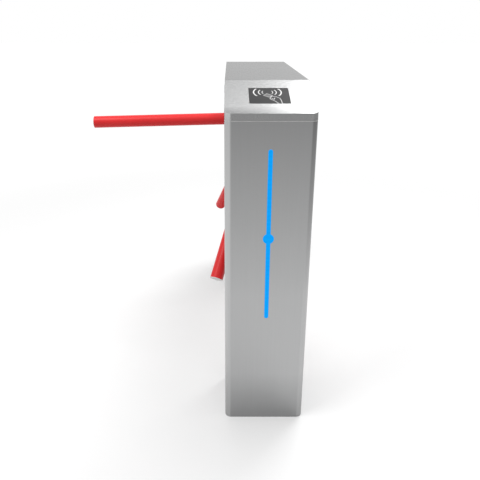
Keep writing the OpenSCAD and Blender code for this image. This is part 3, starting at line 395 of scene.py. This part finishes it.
for screw in copies:
    screw.select_set(True)
bpy.context.view_layer.objects.active = screws
bpy.ops.object.join()
screws.location = HEAD_PLACE
screws.rotation_euler = (0.0, HEAD_SLOPE - math.pi, 0.0)
settle()
screws.data.materials.append(turned_steel("bright_screws", 0.5).material)
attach(screws, "cabinet")


# Bearing housing: an iron casting under dark paint that is scuffed in places. Its flange
# is fixed to the mechanism plate.
casting = Finish("painted_casting", Coat_Weight=0.15)
skin = casting.grain((420.0, 420.0, 420.0), 4.0)
scuff = casting.grain((70.0, 70.0, 70.0), 4.0).fade(0.62, 0.72)
uneven = scuff * 0.5 + skin * 0.2
casting.feed(Base_Color=casting.tint(uneven, (0.075, 0.085, 0.1), (0.2, 0.21, 0.22)))
casting.feed(Roughness=0.5 - scuff * 0.12 + skin * 0.1)
casting.relief(skin, 0.00018)
casting.dress("bearing_housing")


# Bearings: two ball bearings with hardened and polished rings and balls, which sit in
# the housing's two ends.
turned_steel("polished_bearing_steel", 0.62, 0.1).dress(
    "bearing_outer_rings", "bearing_balls", "bearing_inner_rings"
)


# Shaft, wheels, gears, levers and plungers: turned and milled from plain steel, and left
# bare under a film of oil.
turned_steel("machined_steel", 0.46, 0.24).dress(
    "main_shaft", "lock_wheel", "drive_gear", "shaft_spacers", "plate_pillars", "entry_pawl",
    "exit_pawl", "pawl_pins", "entry_plunger", "exit_plunger", "damper_pinion",
)


# Return springs: drawn wire wound six times round each plunger, blued a little by its
# heat treatment. One end rests on the coil's frame, and the plunger's fork presses on
# the other.
wire = Finish("spring_wire", Metallic=1.0)
drawn = wire.grain((900.0, 120.0, 900.0), 2.0)
wire.feed(Base_Color=wire.tint(drawn, (0.22, 0.23, 0.26), (0.4, 0.41, 0.44)))
wire.feed(Roughness=0.22 + drawn * 0.16)
wire.relief(drawn, 0.00003)
PLUNGER_X, PLUNGER_Z = -0.005006, 0.90856
SPRING_START, SPRING_END, COIL_FRAME = 0.09134, 0.1271, 0.128
TURNS, COIL_R, WIRE_R = 6, 0.007, 0.0006
WIRE_SIDES, TURN_STEPS = 12, 24
bpy.ops.object.select_all(action="DESELECT")
bpy.ops.mesh.primitive_circle_add(
    vertices=WIRE_SIDES, radius=WIRE_R, location=(COIL_R, 0, 0), rotation=(math.pi / 2, 0, 0)
)
bpy.ops.object.transform_apply(location=True, rotation=True)
spring = bpy.context.object
coil = spring.modifiers.new("coil", "SCREW")
coil.iterations = TURNS
coil.steps = coil.render_steps = TURN_STEPS
coil.screw_offset = (SPRING_END - SPRING_START) / TURNS
bpy.ops.object.modifier_apply(modifier="coil")
bpy.ops.object.mode_set(mode="EDIT")
bpy.ops.mesh.select_all(action="SELECT")
bpy.ops.mesh.fill_holes(sides=WIRE_SIDES)
bpy.ops.object.mode_set(mode="OBJECT")
bpy.ops.object.shade_smooth_by_angle(angle=math.radians(50))
spring.rotation_euler = (-math.pi / 2, 0, 0)
spring.location = (PLUNGER_X, SPRING_START, PLUNGER_Z)
settle()
spring.data.materials.append(wire.material)
bpy.ops.object.duplicate(linked=False)
exit_spring = bpy.context.object
exit_spring.scale = (1, -1, 1)
settle()
for piece, side, name in ((spring, 1, "entry"), (exit_spring, -1, "exit")):
    piece.name = name + "_return_spring"
    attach(piece, "cabinet")
    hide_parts("return_springs")
    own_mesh(piece)


# Solenoid coils, damper, sensors, controller and reader cases: black moulded plastic
# with a fine spark-eroded grain.
def moulded_plastic(name, low, high, rough=0.45):
    plastic = Finish(name)
    eroded = plastic.grain((1100.0, 1100.0, 1100.0), 3.0)
    smear = plastic.grain((30.0, 30.0, 30.0), 3.0)
    plastic.feed(Base_Color=plastic.tint(eroded * 0.4 + smear * 0.6, low, high))
    plastic.feed(Roughness=rough + eroded * 0.12 + smear * 0.1)
    return plastic.relief(eroded, 0.00007)


moulded_plastic("black_moulding", (0.02, 0.02, 0.021), (0.045, 0.045, 0.048)).dress(
    "solenoids", "damper", "position_sensors", "controller", "reader_cases"
)


# Hub: a die-cast block, bead-blasted and lacquered, with a socket for each arm. Four
# screws in its pocket hold it on the shaft's flange.
blasted = Finish("blasted_casting", Metallic=0.9)
dents = blasted.grain((1500.0, 1500.0, 1500.0), 2.0)
touch = blasted.grain((35.0, 35.0, 35.0), 3.0)
uneven = dents * 0.5 + touch * 0.5
blasted.feed(Base_Color=blasted.tint(uneven, (0.42, 0.43, 0.44), (0.6, 0.61, 0.62)))
blasted.feed(Roughness=0.36 + touch * 0.14)
blasted.relief(dents, 0.00008)
blasted.dress("hub")


# Arms: steel tube in a smooth red powder coat. The coat has a faint orange peel, and
# the people who push there polish it in short streaks.
coat = Finish("red_powder_coat", Specular_IOR_Level=0.3)
peel = coat.grain((420.0, 420.0, 420.0), 1.0)
shade = coat.grain((16.0, 16.0, 16.0), 3.0)
rubbed = coat.grain((60.0, 300.0, 300.0), 4.0).fade(0.6, 0.78)
uneven = shade * 0.7 + rubbed * 0.3
coat.feed(Base_Color=coat.tint(uneven, (0.63, 0.014, 0.016), (0.75, 0.026, 0.028)))
coat.feed(Roughness=0.34 + shade * 0.08 - rubbed * 0.08)
coat.relief(peel, 0.00012)
coat.dress("arm_1", "arm_2", "arm_3")


# End plugs: pale moulded plastic, pressed into the tubes, with a thin rounded lip over
# each tube's end.
moulded_plastic("pale_moulding", (0.66, 0.66, 0.65), (0.78, 0.78, 0.77), 0.35).dress(
    "arm_end_plugs"
)


# Hub screws: zinc-plated steel. The lid's lock barrels and the cams of all four locks
# are die-cast and chromium plated, as on a cabinet lock.
zinc("zinc_screws", (0.56, 0.56, 0.55)).dress("hub_screws")
chrome = Finish("chromium_plate", Metallic=1.0)
haze = chrome.grain((140.0, 140.0, 140.0), 4.0)
chrome.feed(Base_Color=chrome.tint(haze, (0.58, 0.59, 0.61), (0.72, 0.73, 0.75)))
chrome.feed(Roughness=0.08 + haze.fade(0.5, 0.8) * 0.16)
chrome.relief(haze, 0.00002)
chrome.dress(
    "lid_lock_barrels", "front_lid_lock_cam", "rear_lid_lock_cam", "front_door_lock_cam",
    "rear_door_lock_cam",
)


# Service doors: the same sheet and upright grain as the posts, with their own pressed hinges, and
# the lid's butt hinges, in satin steel. Both carry a painted reflection by height: a little
# lighter lower down.
DOOR_PAINTED_REFLECTION = ((0.65, 0.42), (0.1, 0.47))
brushed_steel("door_brushed_steel", "Z", DOOR_PAINTED_REFLECTION, DOOR_PAINTED_REFLECTION, DOOR_PAINTED_REFLECTION).dress(
    "front_door", "rear_door"
)
HINGE_PAINTED_REFLECTION = ((0.94, 0.46), (0.14, 0.48))
brushed_steel("satin_hinge_steel", "Z", HINGE_PAINTED_REFLECTION, HINGE_PAINTED_REFLECTION, HINGE_PAINTED_REFLECTION, 0.26).dress(
    "front_door_hardware", "rear_door_hardware", "fixed_hinge_leaves", "lid_hinge_leaves",
    "hinge_pins",
)


# Lid: one stainless sheet, folded down at its sides and welded at its sloping ends, then ground
# along its length. Its finer grind gives softer glare than the posts'. Its colour is painted
# reflection by height: darker on the flat top and on the skirts, lighter on the slopes.
LID_ENDS_PAINTED_REFLECTION = ((0.934, 0.47), (0.93, 0.235), (0.91, 0.24))
LID_FACES_PAINTED_REFLECTION = ((0.9898, 0.305), (0.9892, 0.515), (0.942, 0.545), (0.91, 0.44))
LID_FAR_PAINTED_REFLECTION = ((0.9898, 0.305), (0.9892, 0.515), (0.942, 0.545), (0.932, 0.22), (0.91, 0.2))
EDGE_GLARE = 0.75
lid_steel = brushed_steel("lid_brushed_steel", "Y", LID_ENDS_PAINTED_REFLECTION, LID_FACES_PAINTED_REFLECTION, LID_FAR_PAINTED_REFLECTION, 0.26)
lid_steel.shader.inputs["Specular Tint"].default_value = (EDGE_GLARE,) * 3 + (1.0,)
lid_steel.dress("lid")


# Reader windows: smoked acrylic with a contactless sign printed on its back: a hand
# that holds a card between sets of waves. It is drawn in metres from the window's
# middle, with u across the slope and v up it.
WINDOW_Y, SLOPE_RUN = 0.4598, 0.9598
THIN_LINE, LINE_BLUR = 0.0009, 0.0003
smoked = Finish("printed_window", Specular_IOR_Level=0.08)
x, y = smoked.axes()[:2]
u = x * y.maths("SIGN") * -1
v = (WINDOW_Y - abs(y)) * (1 / SLOPE_RUN)


def length(run, rise):
    return (run * run + rise * rise).maths("SQRT")


def ink(gap, half_width=THIN_LINE):
    """1 on a printed line, where gap is the distance from its middle."""
    return abs(gap).fade(half_width + LINE_BLUR, half_width - LINE_BLUR)


def line(points):
    """1 on a thin printed line through the points."""
    nearest = None
    for start, end in zip(points, points[1:]):
        run, rise = [b - a for a, b in zip(start, end)]
        from_u, from_v = u - start[0], v - start[1]
        share = (from_u * run + from_v * rise).fade(0, run ** 2 + rise ** 2)
        gap = length(from_u - share * run, from_v - share * rise)
        nearest = nearest.maths("MINIMUM", gap) if nearest else gap
    return ink(nearest)


WAVES_U, WAVES_V = -0.0035, 0.021
WAVES = ((0.0143, 0.0009), (0.0238, 0.0012), (0.0368, 0.0016))
WAVE_REACH = 0.62
waves = 0
for radius, half_width in WAVES:
    wave = ink(length(u - WAVES_U, v - WAVES_V) - radius, half_width)
    waves = wave * (abs(v - WAVES_V) < radius * WAVE_REACH) + waves
CARD_U, CARD_V, CARD_TILT = -0.003, 0.001, math.radians(-40)
CARD_HALF_L, CARD_HALF_W = 0.0095, 0.0075
CARD_EDGE_INK, CARD_FACE_INK, HAND_INK = 0.5, 0.18, 0.85
from_u, from_v = u - CARD_U, v - CARD_V
card_u = from_u * math.cos(CARD_TILT) + from_v * math.sin(CARD_TILT)
card_v = from_v * math.cos(CARD_TILT) - from_u * math.sin(CARD_TILT)
card_gap = (abs(card_u) - CARD_HALF_L).maths("MAXIMUM", abs(card_v) - CARD_HALF_W)
card = ink(card_gap) * CARD_EDGE_INK + (card_gap < 0.0) * CARD_FACE_INK
THUMB = ((0.0055, -0.005), (0.001, -0.02), (0.006, -0.026), (0.014, -0.035), (0.022, -0.049))
BACK = ((0.0055, -0.005), (0.017, -0.006), (0.027, -0.017), (0.0295, -0.03), (0.031, -0.049))
FOLD = ((0.006, -0.017), (0.0115, -0.024), (0.014, -0.014))
hand = line(THUMB) + line(BACK) + line(FOLD)
signs = (waves + card + hand * HAND_INK).maths("MINIMUM", 1.0)
dust = smoked.grain((200.0, 200.0, 200.0), 4.0)
pane = smoked.tint(dust, (0.02, 0.02, 0.021), (0.031, 0.031, 0.032))
smoked.feed(Base_Color=smoked.tint(signs, pane, (0.6, 0.6, 0.6)))
smoked.feed(Roughness=0.24 + dust * 0.14)
smoked.relief(dust, 0.00003)
smoked.dress("reader_windows")


# Studio: a pale floor, a white surround and three soft lamps: above the far right
# corner, on the passage side, and overhead. The last one makes no glare on the lid.
FLOOR_SIZE = 60
BLACK, WHITE = (0.0, 0.0, 0.0), (1.0, 1.0, 1.0)
FLOOR_FADES, FLOOR_GLOW = (1.0, 2.6), (0.185, 0.185, 0.185)
UNSEEN_SKY, SEEN_SKY = 0.6, 1.0


def seen_rays(graph):
    """1 for the rays that bring a picture: straight, from a mirror or through glass."""
    straight, mirrored, passing = [
        graph.node("ShaderNodeLightPath", {}, {}, "Is " + kind + " Ray")
        for kind in ("Camera", "Glossy", "Transmission")
    ]
    return (straight + mirrored + passing).maths("MINIMUM", 1.0)


bpy.ops.mesh.primitive_plane_add(size=FLOOR_SIZE, location=(0, 0, 0))
floor = bpy.context.object
floor.name = "studio_floor"
ground = Finish("pale_floor", Roughness=0.9, Specular_IOR_Level=0.1, Emission_Strength=1.0)
seen = seen_rays(ground)
x, y = ground.axes()[:2]
away = length(x, y).fade(*FLOOR_FADES)
mottle = ground.grain((6.0, 6.0, 6.0), 3.0)
near_colour = ground.tint(mottle, (0.67, 0.67, 0.67), (0.69, 0.69, 0.69))
ground.feed(Base_Color=ground.tint(away * seen, near_colour, BLACK))
ground.feed(Emission_Color=ground.tint(seen, BLACK, ground.tint(away, FLOOR_GLOW, WHITE)))
floor.data.materials.append(ground.material)

world = bpy.data.worlds.new("white_surround")
bpy.context.scene.world = world
sky = Graph(world)
level = seen_rays(sky) * (SEEN_SKY - UNSEEN_SKY) + UNSEEN_SKY
backdrop = sky.tree.nodes["Background"]
backdrop.inputs["Color"].default_value = (*WHITE, 1.0)
sky.tree.links.new(level.socket, backdrop.inputs["Strength"])


def soft_lamp(name, place, target, width, watts):
    bpy.ops.object.light_add(type="AREA", location=place)
    lamp = bpy.context.object
    lamp.name = name
    lamp.data.size = width
    lamp.data.energy = watts
    run = [b - a for a, b in zip(place, target)]
    flat = math.hypot(run[0], run[1])
    lamp.rotation_euler = (math.atan2(flat, -run[2]), 0, math.atan2(run[1], run[0]) - math.pi / 2)
    return lamp


soft_lamp("main_lamp", (0.97, 1.25, 3.05), (0, 0, 0.6), 1.25, 37)
soft_lamp("top_lamp", (0.22, -0.05, 3.3), (0, 0, 0), 1.3, 38).visible_glossy = False
soft_lamp("side_lamp", (-1.5, -1.0, 3.0), (-0.2, 0, 0.7), 1.4, 35)
